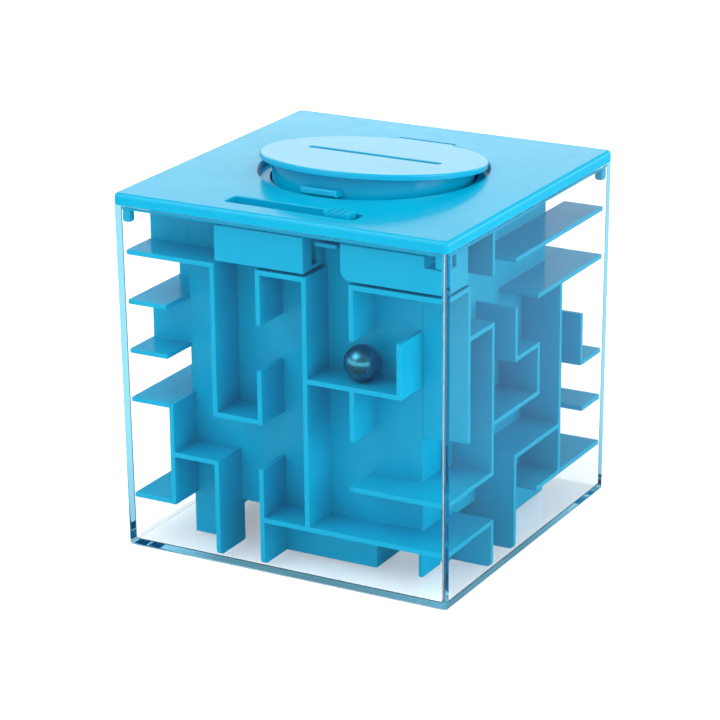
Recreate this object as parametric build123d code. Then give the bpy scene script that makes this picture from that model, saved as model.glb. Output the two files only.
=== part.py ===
from build123d import *
import os

# A maze ball puzzle that is also a coin box, in millimetres. The origin is the centre
# of the face that the case stands on, +Z is up and -Y is the front.

# Case and cover; the case is wider at the top, so that it leaves its mould
CASE_BOTTOM_SIDE = 90.4
CASE_TOP_SIDE = 91.6
CASE_WALL = 1.6
CASE_HEIGHT = 89.5
CASE_EDGE_RADIUS = 1.2
CASE_FOOT_RADIUS = 0.9
COVER_SIDE = 91.8
COVER_THICKNESS = 3.0
COVER_EDGE_RADIUS = 1.0
COVER_TOP = CASE_HEIGHT + COVER_THICKNESS
LIP_HALF = 44.0
LIP_WIDTH = 1.4
LIP_DEPTH = 1.2
LUG_SIDE = 2.4
LUG_DEPTH = 4.4

# Maze grid: six lines each way, numbered 1 to 6, with 0 and 7 for the outer ends
PITCH = 12.75
FIRST_LEVEL = 13.6
RIB_THICKNESS = 1.2
RIB_OUTER = 43.4
RIB_FLOOR = 1.8
RIB_TOP = 88.1
EDGE_ROUND = 1.5
PANEL_THICKNESS = 1.8
CORE_HALF = 2.5 * PITCH + RIB_THICKNESS / 2
CORE_INNER = CORE_HALF - PANEL_THICKNESS
CORE_BOTTOM = FIRST_LEVEL - RIB_THICKNESS / 2
CORE_TOP = 89.2
POST_SIDE = 4.0

# Lid, its recess and its hinge
LID_CENTRE_Y = 3.0
LID_RADIUS = 28.5
LID_THICKNESS = 1.5
LID_TOP = COVER_TOP
SKIRT_RADIUS = 25.3
SKIRT_THICKNESS = 1.6
SKIRT_BOTTOM = 84.5
RECESS_RADIUS = 28.9
RECESS_FLOOR = 90.8
HOLE_RADIUS = 26.0
COIN_SLOT_LENGTH = 37.0
COIN_SLOT_WIDTH = 2.4
HINGE_Y = 31.2
HINGE_Z = 91.65
LID_AJAR_ANGLE = 6.6
BARREL_HALF = 8.0
BARREL_RADIUS = 0.85
BARREL_GAP = 0.2
HINGE_PIN_HALF = 11.0
HINGE_PIN_RADIUS = 0.4
PIN_CLEARANCE = 0.05
TAB_WIDTH = 10.0
TAB_BOTTOM = 86.0
TAB_TOP = 87.7
TAB_FRONT = 28.2

# Lock slider, rest position is unlocked
SLOT_LENGTH = 35.5
SLOT_WIDTH = 5.4
SLOT_Y = -37.1
KNOB_LENGTH = 7.0
KNOB_WIDTH = 4.8
KNOB_REST_X = 12.6
KNOB_TOP = 93.5
SLIDER_TRAVEL = 26.5
BAR_BOTTOM = 88.1
BAR_TOP = 89.2
BAR_HALF_WIDTH = 3.4
TONGUE_START = 8.0
TONGUE_END = 17.0
TONGUE_REACH = -23.7

# Lock housings and the rocker between them
HOUSING_FRONT = -43.3
HOUSING_BACK = -32.6
HOUSING_BOTTOM = 78.6
HOUSING_LEAD = 2.8
HOUSING_CUT = 5.4
HOUSING_TOP = 87.8
LEFT_HOUSING_X = (-18.4, 6.2)
RIGHT_HOUSING_X = (16.2, 43.3)
WELL_LEFT = -6.0
WELL_FLOOR = 79.7
WELL_HALF_WIDTH = 1.6
ROCKER_Y = -37.2
ROCKER_HALF_WIDTH = 1.2
AXLE_X = 3.2
AXLE_Z = 85.6
AXLE_RADIUS = 0.75
TOOTH_X = (-4.0, -2.0)
PADDLE_X = (7.2, 13.6)
ARM_TOP = AXLE_Z + 0.4
WELL_COVER_X = (-7.4, 5.6)
WELL_COVER_HALF = 2.8
WELL_COVER_BOTTOM = 87.1
SPRING_X = -3.0
SPRING_RADIUS = 1.1
SPRING_WIRE = 0.22
SPRING_TURNS = 5
SCREW_Z = 82.7
SCREW_RADIUS = 1.0

# Ball, on the front shelf at level 4
BALL_RADIUS = 4.5
BALL_X = 19.2
BALL_Y = -38.1


def grid(index):
    """Distance of a grid line from the centre plane; 0 and 7 are the outer ends."""
    if index <= 0:
        return -RIB_OUTER
    if index >= 7:
        return RIB_OUTER
    return (index - 3.5) * PITCH


def level(index):
    """Height of a grid level; 0 is the bottom end of a rib and 7 the top end."""
    if index <= 0:
        return RIB_FLOOR
    if index >= 7:
        return RIB_TOP
    return FIRST_LEVEL + (index - 1) * PITCH


def block(x0, x1, y0, y1, z0, z1):
    """A box between two opposite corners."""
    return Pos((x0 + x1) / 2, (y0 + y1) / 2, (z0 + z1) / 2) * Box(x1 - x0, y1 - y0, z1 - z0)


def upright(radius, bottom, top, x=0.0, y=0.0):
    """A vertical cylinder between two heights."""
    return Pos(x, y, (bottom + top) / 2) * Cylinder(radius, top - bottom)


def along_x(radius, x0, x1, y, z):
    """A cylinder along X between two places."""
    return Pos((x0 + x1) / 2, y, z) * Rot(0, 90, 0) * Cylinder(radius, x1 - x0)


def along_y(radius, y0, y1, x, z):
    """A cylinder along Y between two places."""
    return Pos(x, (y0 + y1) / 2, z) * Rot(90, 0, 0) * Cylinder(radius, y1 - y0)


def swing(shape, angle):
    """Turn a shape about the lid's hinge; a positive angle lifts its front."""
    return Pos(0, HINGE_Y, HINGE_Z) * Rot(-angle, 0, 0) * Pos(0, -HINGE_Y, -HINGE_Z) * shape


def clear_case():
    """Clear case: four leaning walls and a floor, open at the top."""
    foot = RectangleRounded(CASE_BOTTOM_SIDE, CASE_BOTTOM_SIDE, CASE_EDGE_RADIUS)
    rim = RectangleRounded(CASE_TOP_SIDE, CASE_TOP_SIDE, CASE_EDGE_RADIUS)
    outer = loft([foot, Plane.XY.offset(CASE_HEIGHT) * rim])
    outer = fillet(outer.faces().sort_by(Axis.Z)[0].edges(), CASE_FOOT_RADIUS)
    inner_foot = RectangleRounded(CASE_BOTTOM_SIDE - 2 * CASE_WALL, CASE_BOTTOM_SIDE - 2 * CASE_WALL, 0.6)
    inner_rim = RectangleRounded(CASE_TOP_SIDE - 2 * CASE_WALL, CASE_TOP_SIDE - 2 * CASE_WALL, 0.6)
    inner = loft([Plane.XY.offset(CASE_WALL) * inner_foot, Plane.XY.offset(CASE_HEIGHT) * inner_rim])
    return outer - inner


def lid_recess():
    """Everything cut from the cover for the lid: recess, hole, tab notch and hinge pocket."""
    recess = upright(RECESS_RADIUS, RECESS_FLOOR, COVER_TOP + 1, 0, LID_CENTRE_Y)
    hole = upright(HOLE_RADIUS, CASE_HEIGHT - 3, COVER_TOP + 1, 0, LID_CENTRE_Y)
    notch_half = TAB_WIDTH / 2 + 0.8
    notch = block(-notch_half, notch_half, -25.9, -20, CASE_HEIGHT - 1, COVER_TOP)
    pocket_half = BARREL_HALF + BARREL_GAP
    pocket_back = HINGE_Y + BARREL_RADIUS + BARREL_GAP
    pocket_floor = HINGE_Z - BARREL_RADIUS - BARREL_GAP
    pocket = block(-pocket_half, pocket_half, 27, pocket_back, pocket_floor, COVER_TOP + 1)
    return recess + hole + notch + pocket


def top_cover():
    """Cover plate with its lip and corner lugs, cut for the lid, its hinge pin and the slider."""
    half = COVER_SIDE / 2
    plate = block(-half, half, -half, half, CASE_HEIGHT, COVER_TOP)
    plate = fillet(plate.edges().filter_by(Axis.Z), 1.7)
    plate = fillet(plate.faces().sort_by(Axis.Z)[-1].edges(), COVER_EDGE_RADIUS)
    plate = fillet(plate.faces().sort_by(Axis.Z)[0].edges(), 0.4)
    lip = block(-LIP_HALF, LIP_HALF, -LIP_HALF, LIP_HALF, CASE_HEIGHT - LIP_DEPTH, CASE_HEIGHT)
    inside = LIP_HALF - LIP_WIDTH
    lip -= block(-inside, inside, -inside, inside, CASE_HEIGHT - 2, CASE_HEIGHT + 1)
    cover = plate + lip
    for sx in (-1, 1):
        for sy in (-1, 1):
            x = sx * (LIP_HALF - LUG_SIDE / 2)
            y = sy * (LIP_HALF - LUG_SIDE / 2)
            lug = Pos(x, y, CASE_HEIGHT - LUG_DEPTH / 2) * Box(LUG_SIDE, LUG_SIDE, LUG_DEPTH)
            lug = fillet(lug.edges().filter_by(Axis.Z), 0.7)
            cover += fillet(lug.faces().sort_by(Axis.Z)[0].edges(), 0.6)
    cover -= lid_recess()
    cover -= along_x(HINGE_PIN_RADIUS, -HINGE_PIN_HALF, HINGE_PIN_HALF, HINGE_Y, HINGE_Z)
    slot = Pos(0, SLOT_Y, COVER_TOP - 2) * Box(SLOT_LENGTH, SLOT_WIDTH, 8)
    slot = fillet(slot.edges().filter_by(Axis.Z), 0.8)
    cover -= slot
    recess_rim = cover.edges().filter_by(GeomType.CIRCLE)
    recess_rim = recess_rim.filter_by_position(Axis.Z, COVER_TOP - 0.01, COVER_TOP + 0.01)
    recess_rim = recess_rim.filter_by(lambda edge: edge.radius > 20)
    cover = chamfer(recess_rim, 0.3)
    slot_rim = cover.edges().filter_by_position(Axis.Z, COVER_TOP - 0.01, COVER_TOP + 0.01)
    slot_rim = slot_rim.filter_by_position(Axis.Y, SLOT_Y - 3, SLOT_Y + 3)
    slot_rim = slot_rim.filter_by_position(Axis.X, -SLOT_LENGTH / 2 - 1, SLOT_LENGTH / 2 + 1)
    cover = fillet(slot_rim, 0.3)
    return cover


def round_outer(rib, corners):
    """Round off the free corners of a rib near the given places."""
    for place, axis in corners:
        edge = rib.edges().filter_by(axis).sort_by_distance(place)[0]
        rib = fillet(edge, EDGE_ROUND)
    return rib


def shelf(side, number, start, end):
    """A horizontal rib of a side panel, between two grid lines."""
    z = level(number)
    low = grid(start) - (RIB_THICKNESS / 2 if 0 < start < 7 else 0)
    high = grid(end) + (RIB_THICKNESS / 2 if 0 < end < 7 else 0)
    z0, z1 = z - RIB_THICKNESS / 2, z + RIB_THICKNESS / 2
    near, far = CORE_HALF, RIB_OUTER
    if side == "front":
        return block(low, high, -far, -near, z0, z1)
    if side == "back":
        return block(low, high, near, far, z0, z1)
    if side == "left":
        return block(-far, -near, low, high, z0, z1)
    return block(near, far, low, high, z0, z1)


def upright_rib(side, line, start, end):
    """A vertical rib of a side panel, between two levels."""
    low = level(start) - (RIB_THICKNESS / 2 if 0 < start < 7 else 0)
    high = level(end) + (RIB_THICKNESS / 2 if 0 < end < 7 else 0)
    a0, a1 = grid(line) - RIB_THICKNESS / 2, grid(line) + RIB_THICKNESS / 2
    near, far = CORE_HALF, RIB_OUTER
    if side == "front":
        rib, axis, tip = block(a0, a1, -far, -near, low, high), Axis.X, (grid(line), -far, low)
    elif side == "back":
        rib, axis, tip = block(a0, a1, near, far, low, high), Axis.X, (grid(line), far, low)
    elif side == "left":
        rib, axis, tip = block(-far, -near, a0, a1, low, high), Axis.Y, (-far, grid(line), low)
    else:
        rib, axis, tip = block(near, far, a0, a1, low, high), Axis.Y, (far, grid(line), low)
    if start == 0:
        rib = round_outer(rib, [(tip, axis)])
    return rib


def wall_plate(side):
    """Flat plate of a side panel, mitred where it meets its two neighbours and the base."""
    a, b = CORE_HALF, CORE_INNER
    plan = Polygon((-a, -a), (a, -a), (b, -b), (-b, -b), align=None)
    plate = extrude(Plane.XY.offset(CORE_BOTTOM) * plan, CORE_TOP - CORE_BOTTOM)
    inside_bottom = CORE_BOTTOM + PANEL_THICKNESS
    profile = Polygon((-a, CORE_BOTTOM), (-b, inside_bottom), (-b, CORE_TOP), (-a, CORE_TOP), align=None)
    plate = plate & extrude(Plane.YZ * profile, a, both=True)
    turn = {"front": 0, "right": 90, "back": 180, "left": 270}[side]
    return Rot(0, 0, turn) * plate


def maze_panel(side, shelves, uprights):
    """A plate with all of its ribs."""
    panel = wall_plate(side)
    for number, start, end in shelves:
        panel += shelf(side, number, start, end)
    for line, start, end in uprights:
        panel += upright_rib(side, line, start, end)
    return panel


def front_maze_panel():
    """Front panel; its top edge is lower where the slider's tongue passes."""
    shelves = [(6, 0, 2), (6, 3, 4), (6, 5, 7), (4, 4, 6), (3, 2, 3), (2, 1, 2), (2, 5, 7), (1, 3, 7)]
    uprights = [(1, 1, 3), (2, 3, 6), (2, 0, 2), (3, 5, 6), (3, 3, 4), (3, 0, 2), (4, 1, 6),
                (5, 5, 6), (5, 3, 4), (6, 4, 5)]
    panel = maze_panel("front", shelves, uprights)
    left_end = KNOB_REST_X - SLIDER_TRAVEL + TONGUE_START - 1.5
    right_end = KNOB_REST_X + TONGUE_END + 0.8
    panel -= block(left_end, right_end, -CORE_HALF - 1, -CORE_INNER + 1, BAR_BOTTOM - 0.4, CORE_TOP + 1)
    bar_left = KNOB_REST_X - SLIDER_TRAVEL - KNOB_LENGTH / 2 - 2
    panel -= block(bar_left, right_end, -CORE_HALF - 12, SLOT_Y + BAR_HALF_WIDTH + 0.4, BAR_BOTTOM - 0.4,
                   CORE_TOP + 1)
    for x in screw_places():
        panel -= along_y(SCREW_RADIUS, -CORE_HALF - 1, -CORE_INNER + 1, x, SCREW_Z)
    return panel


def right_maze_panel():
    """Right panel."""
    shelves = [(6, 3, 7), (5, 1, 2), (5, 4, 7), (4, 3, 4), (3, 2, 4), (2, 1, 2), (2, 3, 5), (1, 1, 2),
               (1, 4, 7)]
    uprights = [(1, 3, 6), (2, 6, 7), (2, 2, 5), (2, 0, 1), (3, 4, 5), (3, 0, 2), (4, 3, 4), (5, 1, 5),
                (6, 3, 4)]
    return maze_panel("right", shelves, uprights)


def left_maze_panel():
    """Left panel; some of its shelves reach the front left corner of the case."""
    shelves = [(6, 1, 3), (5, 0, 2), (4, 0, 1), (3, 0, 3), (2, 3, 5), (1, 0, 4), (4, 3, 5), (5, 4, 6)]
    uprights = [(1, 6, 7), (1, 4, 5), (2, 5, 6), (3, 3, 5), (3, 1, 2), (5, 2, 4), (6, 1, 3), (4, 5, 7),
                (2, 1, 2), (4, 0, 1)]
    return maze_panel("left", shelves, uprights)


def back_maze_panel():
    """Back panel."""
    shelves = [(6, 0, 2), (6, 4, 5), (5, 2, 3), (4, 0, 1), (4, 4, 6), (3, 6, 7), (3, 1, 3), (2, 4, 7),
               (1, 0, 3), (5, 5, 6)]
    uprights = [(1, 3, 5), (2, 5, 6), (3, 3, 5), (3, 6, 7), (4, 4, 6), (6, 2, 3), (5, 3, 4), (2, 1, 2),
                (4, 1, 2), (5, 0, 1), (3, 0, 1)]
    return maze_panel("back", shelves, uprights)


def base_maze_panel():
    """Floor of the coin box with the ribs of the bottom maze under it."""
    lower = Plane.XY.offset(CORE_BOTTOM) * Rectangle(2 * CORE_HALF, 2 * CORE_HALF)
    upper = Plane.XY.offset(CORE_BOTTOM + PANEL_THICKNESS) * Rectangle(2 * CORE_INNER, 2 * CORE_INNER)
    panel = loft([lower, upper])
    top = CORE_BOTTOM
    half = RIB_THICKNESS / 2
    across = [(1, 1, 2), (1, 3, 5), (2, 2, 3), (3, 4, 6), (4, 1, 3), (5, 3, 5), (6, 2, 4)]
    along = [(1, 1, 3), (2, 2, 4), (3, 1, 2), (4, 3, 5), (5, 1, 2), (6, 1, 2), (6, 4, 6), (2, 5, 6),
             (4, 5, 6)]
    for line, start, end in across:
        y = grid(line)
        panel += block(grid(start) - half, grid(end) + half, y - half, y + half, RIB_FLOOR, top)
    for line, start, end in along:
        x = grid(line)
        panel += block(x - half, x + half, grid(start) - half, grid(end) + half, RIB_FLOOR, top)
    return panel


def core_corner_posts():
    """Square posts in the four inner corners of the coin box."""
    outside = CORE_INNER - 0.05
    inside = outside - POST_SIDE
    bottom = CORE_BOTTOM + PANEL_THICKNESS + 0.05
    posts = []
    for sx in (-1, 1):
        for sy in (-1, 1):
            x0, x1 = sorted((sx * inside, sx * outside))
            y0, y1 = sorted((sy * inside, sy * outside))
            post = block(x0, x1, y0, y1, bottom, BAR_BOTTOM - 0.4)
            posts.append(chamfer(post.edges().filter_by(Axis.Z).sort_by_distance((0, 0, 50))[0], 1.6))
    return posts


def screw_places():
    """X of the two screws in each lock housing."""
    return [LEFT_HOUSING_X[0] + 4.0, LEFT_HOUSING_X[0] + 10.0, 19.4, 24.2]


def well_cover_blank(gap):
    """Outline of the strip over the rocker's well, grown sideways by a gap."""
    x0, x1 = WELL_COVER_X
    half = WELL_COVER_HALF + gap
    return block(x0 - gap, x1 + gap, ROCKER_Y - half, ROCKER_Y + half, WELL_COVER_BOTTOM, HOUSING_TOP)


def well_cover():
    """Thin strip that keeps the rocker in its well, with a window for the tooth."""
    middle = (TOOTH_X[0] + TOOTH_X[1]) / 2
    return well_cover_blank(0) - Pos(middle, ROCKER_Y, HOUSING_TOP) * Box(3.2, 3.0, 4)


def left_lock_housing():
    """Block left of the finish pocket, with the well that holds the rocker."""
    x0, x1 = LEFT_HOUSING_X
    body = block(x0, x1, HOUSING_FRONT, HOUSING_BACK, HOUSING_BOTTOM, HOUSING_TOP)
    body = fillet(body.faces().sort_by(Axis.Y)[0].edges(), 0.4)
    y0, y1 = ROCKER_Y - WELL_HALF_WIDTH, ROCKER_Y + WELL_HALF_WIDTH
    body -= block(WELL_LEFT, x1 + 1, y0, y1, WELL_FLOOR, HOUSING_TOP + 1)
    body -= well_cover_blank(0.05)
    body -= along_y(AXLE_RADIUS, ROCKER_Y - 3.4, ROCKER_Y + 3.4, AXLE_X, AXLE_Z)
    for x in screw_places()[:2]:
        body -= along_y(SCREW_RADIUS, HOUSING_BACK - 5.1, HOUSING_BACK + 1, x, SCREW_Z)
    return body


def right_lock_housing():
    """Block right of the finish pocket; its lower left corner leads the ball in."""
    x0, x1 = RIGHT_HOUSING_X
    body = block(x0, x1, HOUSING_FRONT, HOUSING_BACK, HOUSING_BOTTOM, HOUSING_TOP)
    lead = body.edges().filter_by(Axis.Y).sort_by_distance((x0, HOUSING_FRONT, HOUSING_BOTTOM))[0]
    body = fillet(lead, HOUSING_LEAD)
    body = fillet(body.faces().sort_by(Axis.Y)[0].edges(), 0.4)
    cut_edge = LIP_HALF - HOUSING_CUT
    cut_end = CASE_HEIGHT - LUG_DEPTH - 0.3
    body -= block(cut_edge, x1 + 1, HOUSING_FRONT - 1, -cut_edge, cut_end, HOUSING_TOP + 1)
    for x in screw_places()[2:]:
        body -= along_y(SCREW_RADIUS, HOUSING_BACK - 5.1, HOUSING_BACK + 1, x, SCREW_Z)
    return body


def housing_screws():
    """Four pan-head screws, put in from inside the coin box."""
    screws = []
    for x in screw_places():
        head = along_y(1.9, -CORE_INNER, -CORE_INNER + 1.3, x, SCREW_Z)
        head = fillet(head.faces().sort_by(Axis.Y)[-1].edges(), 0.5)
        screw = head + along_y(SCREW_RADIUS, HOUSING_BACK - 5.0, -CORE_INNER + 0.1, x, SCREW_Z)
        top = -CORE_INNER + 1.3
        screw -= Pos(x, top, SCREW_Z) * Box(2.0, 1.0, 0.5)
        screw -= Pos(x, top, SCREW_Z) * Box(0.5, 1.0, 2.0)
        screws.append(screw)
    return screws


def closed_lid():
    """Lid as it lies when closed: disc, skirt, latch tab, coin slot and hinge barrel."""
    disc = upright(LID_RADIUS, LID_TOP - LID_THICKNESS, LID_TOP, 0, LID_CENTRE_Y)
    disc = fillet(disc.faces().sort_by(Axis.Z)[-1].edges(), 0.45)
    disc = fillet(disc.faces().sort_by(Axis.Z)[0].edges(), 0.2)
    under = LID_TOP - LID_THICKNESS
    skirt = upright(SKIRT_RADIUS, SKIRT_BOTTOM, under + 0.4, 0, LID_CENTRE_Y)
    skirt -= upright(SKIRT_RADIUS - SKIRT_THICKNESS, SKIRT_BOTTOM - 1, under + 1, 0, LID_CENTRE_Y)
    tab = block(-TAB_WIDTH / 2, TAB_WIDTH / 2, LID_CENTRE_Y - TAB_FRONT, -20.6, TAB_BOTTOM, TAB_TOP)
    tab = fillet(tab.faces().sort_by(Axis.Y)[0].edges(), 0.45)
    lid = disc + skirt + tab
    barrel = along_x(BARREL_RADIUS, -BARREL_HALF, BARREL_HALF, HINGE_Y, HINGE_Z)
    web = block(-BARREL_HALF, BARREL_HALF, HINGE_Y - 3, HINGE_Y, under, LID_TOP)
    lid += barrel + web
    lid -= along_x(HINGE_PIN_RADIUS + PIN_CLEARANCE, -BARREL_HALF - 1, BARREL_HALF + 1, HINGE_Y, HINGE_Z)
    slot = Pos(0, LID_CENTRE_Y, LID_TOP) * Box(COIN_SLOT_LENGTH, COIN_SLOT_WIDTH, 8)
    slot = fillet(slot.edges().filter_by(Axis.Z), 0.6)
    lid -= slot
    rim = lid.edges().filter_by_position(Axis.Z, LID_TOP - 0.01, LID_TOP + 0.01)
    rim = rim.filter_by_position(Axis.Y, LID_CENTRE_Y - 1.5, LID_CENTRE_Y + 1.5)
    return fillet(rim.filter_by_position(Axis.X, -20, 20), 0.3)


def lid_hinge_pin():
    """Steel wire through the lid's barrel, held at both ends in the cover."""
    return along_x(HINGE_PIN_RADIUS, -HINGE_PIN_HALF, HINGE_PIN_HALF, HINGE_Y, HINGE_Z)


def lock_slider():
    """Slider: ridged knob above the slot, bar under the cover and tongue over the lid's tab."""
    x = KNOB_REST_X
    half = KNOB_LENGTH / 2
    y0, y1 = SLOT_Y - KNOB_WIDTH / 2, SLOT_Y + KNOB_WIDTH / 2
    knob = block(x - half, x + half, y0, y1, BAR_TOP - 0.1, KNOB_TOP)
    knob = fillet(knob.edges().filter_by(Axis.Z), 0.7)
    for offset in (-1.8, 0.0, 1.8):
        knob -= Pos(x + offset, SLOT_Y, KNOB_TOP) * Box(0.7, 8, 0.6)
    bar_end = x + TONGUE_END
    bar = block(x - half - 1, bar_end, SLOT_Y - BAR_HALF_WIDTH, SLOT_Y + BAR_HALF_WIDTH, BAR_BOTTOM, BAR_TOP)
    tongue = block(x + TONGUE_START, bar_end, SLOT_Y, TONGUE_REACH, BAR_BOTTOM, BAR_TOP)
    catch_x = SLIDER_TRAVEL + (TOOTH_X[0] + TOOTH_X[1]) / 2 + 0.4
    catch = Pos(catch_x, ROCKER_Y, BAR_TOP) * Box(3.4, 3.2, 6)
    return knob + bar + tongue - catch


def release_rocker():
    """Rocker: tooth on the left arm, paddle for the ball on the right arm."""
    y0, y1 = ROCKER_Y - ROCKER_HALF_WIDTH, ROCKER_Y + ROCKER_HALF_WIDTH
    arm = block(TOOTH_X[0], PADDLE_X[1], y0, y1, AXLE_Z - 0.6, ARM_TOP)
    hub = along_y(1.4, y0, y1, AXLE_X, AXLE_Z)
    tooth = block(TOOTH_X[0], TOOTH_X[1], y0, y1, AXLE_Z, HOUSING_TOP - 0.1)
    tooth = chamfer(tooth.edges().filter_by(Axis.Y).sort_by_distance((TOOTH_X[1], ROCKER_Y, 90))[0], 0.7)
    paddle = block(PADDLE_X[0], PADDLE_X[1], ROCKER_Y - 2.8, ROCKER_Y + 2.8, AXLE_Z - 0.6, ARM_TOP)
    paddle = fillet(paddle.edges().filter_by(Axis.Z), 0.8)
    rocker = arm + hub + tooth + paddle
    return rocker - along_y(AXLE_RADIUS + PIN_CLEARANCE, y0 - 1, y1 + 1, AXLE_X, AXLE_Z)


def rocker_axle():
    """Axle pressed into the housing's two side walls."""
    return along_y(AXLE_RADIUS, ROCKER_Y - 3.3, ROCKER_Y + 3.3, AXLE_X, AXLE_Z)


def rocker_spring():
    """Compression spring under the tooth end of the rocker."""
    bottom = WELL_FLOOR + SPRING_WIRE + 0.05
    height = AXLE_Z - 0.6 - SPRING_WIRE - 0.1 - bottom
    path = Helix(height / SPRING_TURNS, height, SPRING_RADIUS, center=(0, 0, 0))
    section = Plane(origin=path @ 0, z_dir=path % 0) * Circle(SPRING_WIRE)
    return Pos(SPRING_X, ROCKER_Y, bottom) * sweep(section, path=path, is_frenet=True)


def maze_ball():
    """Steel ball on the front shelf."""
    shelf_top = level(4) + RIB_THICKNESS / 2
    return Pos(BALL_X, BALL_Y, shelf_top + BALL_RADIUS + 0.05) * Sphere(BALL_RADIUS)


def write(name, shape):
    """Write one sub-part, made of one solid or of a list of alike solids."""
    if isinstance(shape, list):
        shape = Compound(children=shape)
    export_step(shape, f"parts/{name}.step")


def main():
    os.makedirs("parts", exist_ok=True)
    write("clear_case", clear_case())
    write("top_cover", top_cover())
    write("front_maze_panel", front_maze_panel())
    write("right_maze_panel", right_maze_panel())
    write("left_maze_panel", left_maze_panel())
    write("back_maze_panel", back_maze_panel())
    write("base_maze_panel", base_maze_panel())
    write("core_corner_posts", core_corner_posts())
    write("left_lock_housing", left_lock_housing())
    write("right_lock_housing", right_lock_housing())
    write("housing_screws", housing_screws())
    write("lid", swing(closed_lid(), LID_AJAR_ANGLE))
    write("lid_hinge_pin", lid_hinge_pin())
    write("lock_slider", lock_slider())
    write("well_cover", well_cover())
    write("release_rocker", release_rocker())
    write("rocker_axle", rocker_axle())
    write("rocker_spring", rocker_spring())
    write("maze_ball", maze_ball())


main()
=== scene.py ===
import math

import bmesh
import bpy
from mathutils import Matrix, Vector


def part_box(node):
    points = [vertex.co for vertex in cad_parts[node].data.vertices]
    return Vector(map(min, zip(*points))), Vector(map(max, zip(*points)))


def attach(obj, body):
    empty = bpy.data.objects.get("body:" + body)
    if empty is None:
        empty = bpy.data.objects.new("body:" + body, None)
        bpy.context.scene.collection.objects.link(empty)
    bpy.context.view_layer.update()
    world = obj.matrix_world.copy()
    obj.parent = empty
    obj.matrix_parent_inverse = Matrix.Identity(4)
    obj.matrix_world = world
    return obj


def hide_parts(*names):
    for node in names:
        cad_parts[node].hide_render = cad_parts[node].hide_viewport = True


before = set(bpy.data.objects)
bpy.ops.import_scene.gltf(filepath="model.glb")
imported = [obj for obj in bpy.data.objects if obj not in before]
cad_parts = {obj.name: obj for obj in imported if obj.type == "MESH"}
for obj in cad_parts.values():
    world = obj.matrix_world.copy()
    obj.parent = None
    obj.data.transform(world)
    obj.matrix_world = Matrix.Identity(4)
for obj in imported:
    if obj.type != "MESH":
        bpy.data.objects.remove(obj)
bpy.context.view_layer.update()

# Camera
AZIMUTH = math.radians(28.93)
ELEVATION = math.radians(19.22)
ROLL = math.radians(0.52)
CAMERA_DISTANCE = 0.7462
CAMERA_AIM = Vector((-0.0017, -0.0020, 0.0430))
CAMERA_LENS = 147.1
SENSOR_WIDTH = 36

# Clear case; its walls lean out by the draft from foot to rim
CASE_WALL = 0.0016
CASE_DRAFT = 0.0006
CASE_CORNER = 0.0012
CASE_FOOT = 0.0009
CASE_INNER_CORNER = 0.0006
CASE_RIM = 0.0002

# Mesh fineness, and the radius that a mould leaves on an edge
CORNER_STEPS = 12
BALL_ROWS = 48
MOULDED_EDGE = 0.00018

# Colours
BLUE_TINTS = ((0.000, 0.390, 0.625), (0.000, 0.420, 0.665))
CLEAR_TINT = (0.985, 0.997, 1.0)
CLEAR_SHADOW_TINT = (0.97, 0.99, 0.995)
# Painted blue reflection and shade where rays are caught in the clear case's edges
CLEAR_EDGE_PAINTED_REFLECTION = (0.20, 0.50, 0.62)
# The ball's teal is a painted reflection of the blue maze around it
BALL_PAINTED_BLUE_REFLECTION = (0.08, 0.46, 0.62)
PLATED_TINTS = ((0.50, 0.51, 0.52), (0.62, 0.62, 0.61))
FLOOR_TINTS = ((0.92, 0.92, 0.92), (0.94, 0.94, 0.94))

# Surroundings: the light they give, and how bright they are in reflections. In those, the
# sky brightens from the skyline up to its bright band, and is dark above it.
SKY = 1.12
SKYLINE_IN_REFLECTIONS = 1.25
SKY_IN_REFLECTIONS = 2.00
SKY_TOP_IN_REFLECTIONS = 0.12
SKY_RISE = (0.05, 0.25)
SKY_FALL = (0.270, 0.290)
FLOOR_FRONT_IN_REFLECTIONS = 0.02
FLOOR_BACK_IN_REFLECTIONS = 0.14
FLOOR_SHADE_Y = (-0.06, 0.12)
FLOOR_GLOW = 0.55
FLOOR_HALF = 4
FLOOR_Z = -0.00005

# Softboxes: name, place, size and power
SOFTBOXES = (("key", (-0.5, -0.7, 1.1), 0.9, 5), ("side fill", (1.3, 0.1, 0.35), 0.8, 8))
LIGHT_TARGET = Vector((0, 0, 0.05))

# A ray in the clear plastic that has bounced more often than this is caught in an edge, and goes straight
# on coloured by a painted blue reflection and shade
EDGE_RAYS = 4.5
LIGHT_BOUNCES = 32

PANELS = ("front_maze_panel", "right_maze_panel", "left_maze_panel", "back_maze_panel", "base_maze_panel")
FIXED_BLUE = PANELS + ("left_lock_housing", "right_lock_housing", "core_corner_posts", "well_cover",
                       "top_cover")
MOVING_BLUE = (("lid", "lid"), ("lock_slider", "slider"), ("release_rocker", "rocker"))
STEEL_NODES = ("housing_screws", "lid_hinge_pin", "rocker_axle", "rocker_spring")


# Mesh helpers

def rounded_square(half, radius, steps=CORNER_STEPS):
    """Points of a square with round corners, anticlockwise from above."""
    points = []
    for quarter in range(4):
        turn = quarter * math.pi / 2
        corner = Matrix.Rotation(turn, 2) @ Vector((half - radius, half - radius))
        for step in range(steps + 1):
            angle = turn + step / steps * math.pi / 2
            points.append(corner + radius * Vector((math.cos(angle), math.sin(angle))))
    return points


def arc(radius, steps=6):
    """(inset, rise) of points round a quarter circle, from flat to upright."""
    return [(radius * (1 - math.sin(step / steps * math.pi / 2)),
             radius * (1 - math.cos(step / steps * math.pi / 2))) for step in range(steps + 1)]


def loft(rings):
    """A closed bmesh through rings of 3-D points, with a cap on each end."""
    bm = bmesh.new()
    rows = [[bm.verts.new(point) for point in ring] for ring in rings]
    for low, high in zip(rows, rows[1:]):
        count = len(low)
        for i in range(count):
            j = (i + 1) % count
            bm.faces.new((low[i], low[j], high[j], high[i]))
    bm.faces.new(list(reversed(rows[0])))
    bm.faces.new(rows[-1])
    return bm


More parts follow.
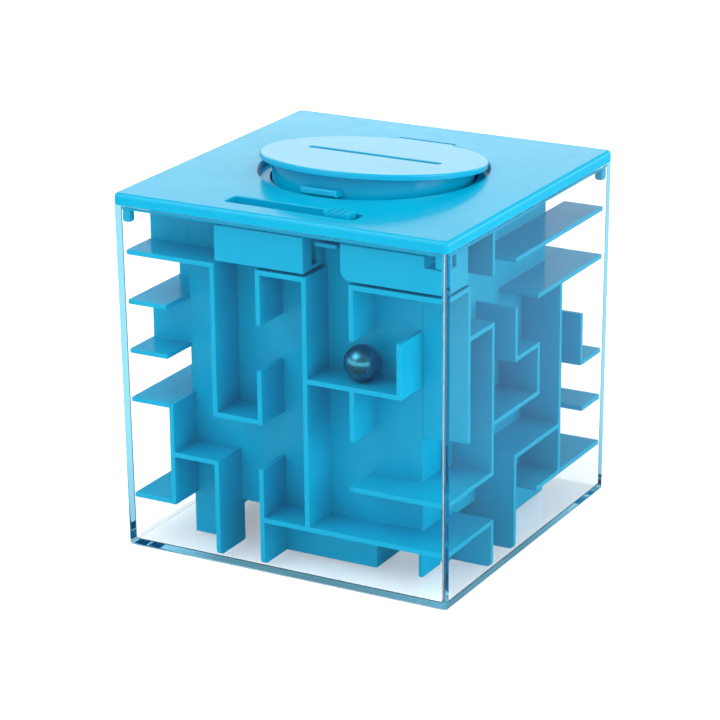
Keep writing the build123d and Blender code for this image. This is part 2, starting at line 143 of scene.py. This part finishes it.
def piece(name, bm, body, material, sharp=35.0):
    """Make an object of a bmesh, which rides on a body, with flat faces kept flat in the shading."""
    bmesh.ops.recalc_face_normals(bm, faces=bm.faces)
    mesh = bpy.data.meshes.new(name)
    bm.to_mesh(mesh)
    bm.free()
    if "custom_normal" in mesh.attributes:
        mesh.attributes.remove(mesh.attributes["custom_normal"])
    for face in mesh.polygons:
        face.use_smooth = True
    mesh.materials.clear()
    mesh.materials.append(material)
    mesh.set_sharp_from_angle(angle=math.radians(sharp))
    obj = bpy.data.objects.new(name, mesh)
    bpy.context.scene.collection.objects.link(obj)
    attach(obj, body)
    return obj


def soften(obj, width, segments=2):
    """Round the piece's edges by a small radius."""
    bevel = obj.modifiers.new("edge radius", "BEVEL")
    bevel.width = width
    bevel.segments = segments
    bevel.limit_method = "ANGLE"
    bevel.angle_limit = math.radians(40)
    bevel.miter_outer = "MITER_ARC"
    return obj


def even_normals(obj):
    """Keep large faces flat beside their rounded edges."""
    normals = obj.modifiers.new("even normals", "WEIGHTED_NORMAL")
    normals.mode = "FACE_AREA"
    normals.keep_sharp = True
    return obj


def moulded(node, body, material, edge):
    """The shape of a CAD node with its edges rounded as a mould leaves them."""
    bm = bmesh.new()
    bm.from_mesh(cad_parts[node].data)
    bmesh.ops.remove_doubles(bm, verts=bm.verts, dist=1e-6)
    bmesh.ops.dissolve_limit(bm, angle_limit=math.radians(1), verts=bm.verts, edges=bm.edges)
    obj = piece(node + "_moulded", bm, body, material)
    soften(obj, edge)
    even_normals(obj)
    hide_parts(node)
    return obj


# Materials

def new_material(name):
    """An empty node material: the material, its nodes, its links and its shader."""
    material = bpy.data.materials.new(name)
    material.use_nodes = True
    tree = material.node_tree
    return material, tree.nodes, tree.links, tree.nodes["Principled BSDF"]


def noise(nodes, links, scale, detail=2.0, roughness=0.5):
    """Noise in the object's own space, in features per metre."""
    place = nodes.new("ShaderNodeTexCoord")
    texture = nodes.new("ShaderNodeTexNoise")
    texture.inputs["Scale"].default_value = scale
    texture.inputs["Detail"].default_value = detail
    texture.inputs["Roughness"].default_value = roughness
    links.new(place.outputs["Object"], texture.inputs["Vector"])
    return texture.outputs["Fac"]


def remap(nodes, links, value, source, target):
    """The node that maps a value from one range to another; its result is its first output."""
    span = nodes.new("ShaderNodeMapRange")
    span.inputs["From Min"].default_value, span.inputs["From Max"].default_value = source
    span.inputs["To Min"].default_value, span.inputs["To Max"].default_value = target
    links.new(value, span.inputs["Value"])
    return span


def spread(nodes, links, value, low, high):
    """Map the middle of a noise's range to low..high."""
    return remap(nodes, links, value, (0.3, 0.7), (low, high)).outputs["Result"]


def calculate(nodes, links, operation, first, second, clamp=False):
    """One step of arithmetic on an output, with another output or a number."""
    step = nodes.new("ShaderNodeMath")
    step.operation = operation
    step.use_clamp = clamp
    links.new(first, step.inputs[0])
    if isinstance(second, (int, float)):
        step.inputs[1].default_value = second
    else:
        links.new(second, step.inputs[1])
    return step.outputs[0]


def blend_colours(nodes, links, factor, first, second):
    """A colour between two by a factor."""
    mix = nodes.new("ShaderNodeMix")
    mix.data_type = "RGBA"
    mix.inputs["A"].default_value = (*first, 1)
    mix.inputs["B"].default_value = (*second, 1)
    links.new(factor, mix.inputs["Factor"])
    return mix.outputs["Result"]


def bump(nodes, links, height, distance, strength=1.0):
    """A bump of a given depth in metres."""
    node = nodes.new("ShaderNodeBump")
    node.inputs["Distance"].default_value = distance
    node.inputs["Strength"].default_value = strength
    links.new(height, node.inputs["Height"])
    return node.outputs["Normal"]


def reflected(nodes, links):
    """1 for what is seen in one mirror reflection, 0 for what is seen directly or after several."""
    path = nodes.new("ShaderNodeLightPath")
    seen = calculate(nodes, links, "COMPARE", path.outputs["Glossy Depth"], 1.0)
    seen.node.inputs[2].default_value = 0.5
    return seen


def blue_plastic():
    """Glossy sky-blue moulded plastic, with faint flow marks, that lets in a little light."""
    material, nodes, links, shader = new_material("blue moulded plastic")
    flow = noise(nodes, links, 45, 3)
    tint = blend_colours(nodes, links, spread(nodes, links, flow, 0, 1), *BLUE_TINTS)
    links.new(tint, shader.inputs["Base Color"])
    grain = noise(nodes, links, 300, 2)
    links.new(spread(nodes, links, grain, 0.17, 0.22), shader.inputs["Roughness"])
    wave = noise(nodes, links, 120, 1)
    links.new(bump(nodes, links, wave, 0.00002), shader.inputs["Normal"])
    shader.inputs["IOR"].default_value = 1.5
    shader.inputs["Specular IOR Level"].default_value = 0.35
    shader.inputs["Subsurface Weight"].default_value = 0.15
    shader.inputs["Subsurface Radius"].default_value = (0.1, 0.8, 1.0)
    shader.inputs["Subsurface Scale"].default_value = 0.0015
    return material


def clear_plastic():
    """Clear plastic: it bends what is seen through it and lets light through; its edges get a painted
    blue reflection and shade.
    """
    material, nodes, links, shader = new_material("clear moulded plastic")
    shader.inputs["Base Color"].default_value = (*CLEAR_TINT, 1)
    shader.inputs["Transmission Weight"].default_value = 1.0
    shader.inputs["IOR"].default_value = 1.5
    smear = noise(nodes, links, 60, 4)
    links.new(spread(nodes, links, smear, 0.0, 0.015), shader.inputs["Roughness"])
    path = nodes.new("ShaderNodeLightPath")
    lighting = calculate(nodes, links, "MAXIMUM", path.outputs["Is Shadow Ray"],
                         path.outputs["Is Diffuse Ray"])
    caught = calculate(nodes, links, "GREATER_THAN", path.outputs["Ray Depth"], EDGE_RAYS)
    unbent = calculate(nodes, links, "MAXIMUM", lighting, caught)
    # Rays caught in an edge get a painted blue reflection and shade in place of the case's clear tint
    edge_painted_reflection = calculate(nodes, links, "SUBTRACT", caught, lighting, clamp=True)
    tint = blend_colours(nodes, links, edge_painted_reflection, CLEAR_SHADOW_TINT, CLEAR_EDGE_PAINTED_REFLECTION)
    through = nodes.new("ShaderNodeBsdfTransparent")
    links.new(tint, through.inputs["Color"])
    mix = nodes.new("ShaderNodeMixShader")
    links.new(unbent, mix.inputs["Fac"])
    links.new(shader.outputs["BSDF"], mix.inputs[1])
    links.new(through.outputs["BSDF"], mix.inputs[2])
    links.new(mix.outputs["Shader"], nodes["Material Output"].inputs["Surface"])
    return material


def polished_steel():
    """Polished steel, tinted teal as a painted reflection of the blue maze around it, with faint marks
    from running in the maze.
    """
    material, nodes, links, shader = new_material("polished steel")
    # The teal base colour is a painted reflection of the blue maze, not the steel's own colour
    shader.inputs["Base Color"].default_value = (*BALL_PAINTED_BLUE_REFLECTION, 1)
    shader.inputs["Metallic"].default_value = 1.0
    marks = noise(nodes, links, 1500, 5)
    links.new(spread(nodes, links, marks, 0.26, 0.36), shader.inputs["Roughness"])
    return material


def plated_steel():
    """Zinc-plated steel for the screws, pins and spring."""
    material, nodes, links, shader = new_material("plated steel")
    tone = noise(nodes, links, 700, 3)
    tint = blend_colours(nodes, links, spread(nodes, links, tone, 0, 1), *PLATED_TINTS)
    links.new(tint, shader.inputs["Base Color"])
    shader.inputs["Metallic"].default_value = 1.0
    links.new(spread(nodes, links, tone, 0.22, 0.38), shader.inputs["Roughness"])
    return material


def pale_floor():
    """Matt white surface, darker towards the front in reflections."""
    material, nodes, links, shader = new_material("white floor")
    fleck = noise(nodes, links, 300, 2)
    tint = blend_colours(nodes, links, fleck, *FLOOR_TINTS)
    axes = nodes.new("ShaderNodeSeparateXYZ")
    links.new(nodes.new("ShaderNodeTexCoord").outputs["Object"], axes.inputs[0])
    depth = remap(nodes, links, axes.outputs["Y"], FLOOR_SHADE_Y,
                  (FLOOR_FRONT_IN_REFLECTIONS, FLOOR_BACK_IN_REFLECTIONS))
    shade = nodes.new("ShaderNodeMix")
    shade.data_type = "RGBA"
    links.new(reflected(nodes, links), shade.inputs["Factor"])
    links.new(tint, shade.inputs["A"])
    links.new(depth.outputs["Result"], shade.inputs["B"])
    links.new(shade.outputs["Result"], shader.inputs["Base Color"])
    links.new(shade.outputs["Result"], shader.inputs["Emission Color"])
    lighting = nodes.new("ShaderNodeLightPath").outputs["Is Diffuse Ray"]
    glow = remap(nodes, links, lighting, (0, 1), (FLOOR_GLOW, 0))
    links.new(glow.outputs["Result"], shader.inputs["Emission Strength"])
    shader.inputs["Roughness"].default_value = 0.7
    return material


BLUE = blue_plastic()
CLEAR = clear_plastic()
POLISHED = polished_steel()
PLATED = plated_steel()


# Pieces

def clear_case():
    """Clear case with round corners, a rounded foot and a rounded rim."""
    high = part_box("clear_case")[1]
    top = high.z
    rings = []

    def add(inset, radius, z):
        """A ring at height z, set in from the outer wall."""
        size = high.x - CASE_DRAFT * (1 - z / top) - inset
        rings.append([(p.x, p.y, z) for p in rounded_square(size, radius)])

    for inset, rise in arc(CASE_FOOT):
        add(inset, CASE_CORNER - inset * 0.9, rise)
    for inset, rise in reversed(arc(CASE_RIM, 3)):
        add(inset, CASE_CORNER - inset, top - rise)
    for inset, rise in arc(CASE_RIM, 3):
        add(CASE_WALL - inset, CASE_INNER_CORNER + inset, top - rise)
    for inset, rise in reversed(arc(CASE_INNER_CORNER)):
        add(CASE_WALL + inset, CASE_INNER_CORNER - inset * 0.9, CASE_WALL + rise)
    obj = piece("clear_case_walls", loft(rings), "box", CLEAR, sharp=60)
    even_normals(obj)
    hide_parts("clear_case")
    return obj


def maze_ball():
    """Steel ball, from rings between its poles."""
    low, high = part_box("maze_ball")
    centre, radius = (low + high) / 2, (high.x - low.x) / 2
    bm = bmesh.new()
    rows = []
    for row in range(1, BALL_ROWS):
        angle = math.pi * row / BALL_ROWS
        ring = []
        for step in range(2 * BALL_ROWS):
            turn = math.pi * step / BALL_ROWS
            out = math.sin(angle)
            spoke = Vector((out * math.cos(turn), out * math.sin(turn), -math.cos(angle)))
            ring.append(bm.verts.new(centre + radius * spoke))
        rows.append(ring)
    foot = bm.verts.new(centre - Vector((0, 0, radius)))
    crown = bm.verts.new(centre + Vector((0, 0, radius)))
    for i in range(2 * BALL_ROWS):
        j = (i + 1) % (2 * BALL_ROWS)
        bm.faces.new((foot, rows[0][j], rows[0][i]))
        bm.faces.new((crown, rows[-1][i], rows[-1][j]))
        for low_row, high_row in zip(rows, rows[1:]):
            bm.faces.new((low_row[i], low_row[j], high_row[j], high_row[i]))
    obj = piece("maze_ball_sphere", bm, "ball", POLISHED, sharp=60)
    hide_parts("maze_ball")
    return obj


def camera():
    """Camera in front of the object's right-hand corner, a little above it."""
    back = Vector((math.sin(AZIMUTH) * math.cos(ELEVATION), -math.cos(AZIMUTH) * math.cos(ELEVATION),
                   math.sin(ELEVATION)))
    right = Vector((math.cos(AZIMUTH), math.sin(AZIMUTH), 0))
    up = back.cross(right)
    axes = Matrix((right, up, back)).transposed() @ Matrix.Rotation(-ROLL, 3, "Z")
    data = bpy.data.cameras.new("camera")
    data.lens = CAMERA_LENS
    data.sensor_width = SENSOR_WIDTH
    data.clip_start = 0.01
    data.clip_end = 20
    obj = bpy.data.objects.new("camera", data)
    bpy.context.scene.collection.objects.link(obj)
    obj.matrix_world = Matrix.Translation(CAMERA_AIM + back * CAMERA_DISTANCE) @ axes.to_4x4()
    bpy.context.scene.camera = obj


def softbox(name, place, size, power):
    """A square area light that faces the object."""
    data = bpy.data.lights.new(name, "AREA")
    data.size = size
    data.energy = power
    obj = bpy.data.objects.new(name, data)
    bpy.context.scene.collection.objects.link(obj)
    obj.location = place
    obj.rotation_mode = "QUATERNION"
    obj.rotation_quaternion = (LIGHT_TARGET - Vector(place)).to_track_quat("-Z", "Y")


def light_sky(world):
    """Even white surroundings; reflections see a bright backdrop with darkness above it."""
    nodes, links = world.node_tree.nodes, world.node_tree.links
    background = nodes["Background"]
    background.inputs["Color"].default_value = (1, 1, 1, 1)
    place = nodes.new("ShaderNodeTexCoord")
    axes = nodes.new("ShaderNodeSeparateXYZ")
    links.new(place.outputs["Generated"], axes.inputs[0])
    rise = remap(nodes, links, axes.outputs["Z"], SKY_RISE, (SKYLINE_IN_REFLECTIONS, SKY_IN_REFLECTIONS))
    fall = remap(nodes, links, axes.outputs["Z"], SKY_FALL, (SKY_IN_REFLECTIONS, SKY_TOP_IN_REFLECTIONS))
    links.new(rise.outputs["Result"], fall.inputs["To Min"])
    pick = nodes.new("ShaderNodeMix")
    pick.data_type = "FLOAT"
    links.new(reflected(nodes, links), pick.inputs["Factor"])
    pick.inputs["A"].default_value = SKY
    links.new(fall.outputs["Result"], pick.inputs["B"])
    links.new(pick.outputs["Result"], background.inputs["Strength"])


def studio():
    """White floor, white surroundings and softboxes."""
    bm = bmesh.new()
    bmesh.ops.create_grid(bm, x_segments=1, y_segments=1, size=FLOOR_HALF)
    mesh = bpy.data.meshes.new("floor")
    bm.to_mesh(mesh)
    bm.free()
    mesh.materials.append(pale_floor())
    floor = bpy.data.objects.new("floor", mesh)
    floor.location.z = FLOOR_Z
    bpy.context.scene.collection.objects.link(floor)
    world = bpy.data.worlds.new("studio")
    world.use_nodes = True
    light_sky(world)
    bpy.context.scene.world = world
    for name, place, size, power in SOFTBOXES:
        softbox(name, place, size, power)
    bpy.context.scene.view_settings.view_transform = "Standard"
    cycles = bpy.context.scene.cycles
    cycles.max_bounces = LIGHT_BOUNCES
    cycles.glossy_bounces = LIGHT_BOUNCES
    cycles.transmission_bounces = LIGHT_BOUNCES
    cycles.transparent_max_bounces = LIGHT_BOUNCES


clear_case()
maze_ball()
for node in FIXED_BLUE:
    moulded(node, "box", BLUE, MOULDED_EDGE)
for node, body in MOVING_BLUE:
    moulded(node, body, BLUE, MOULDED_EDGE)
for node in STEEL_NODES:
    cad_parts[node].data.materials[0] = PLATED
studio()
camera()
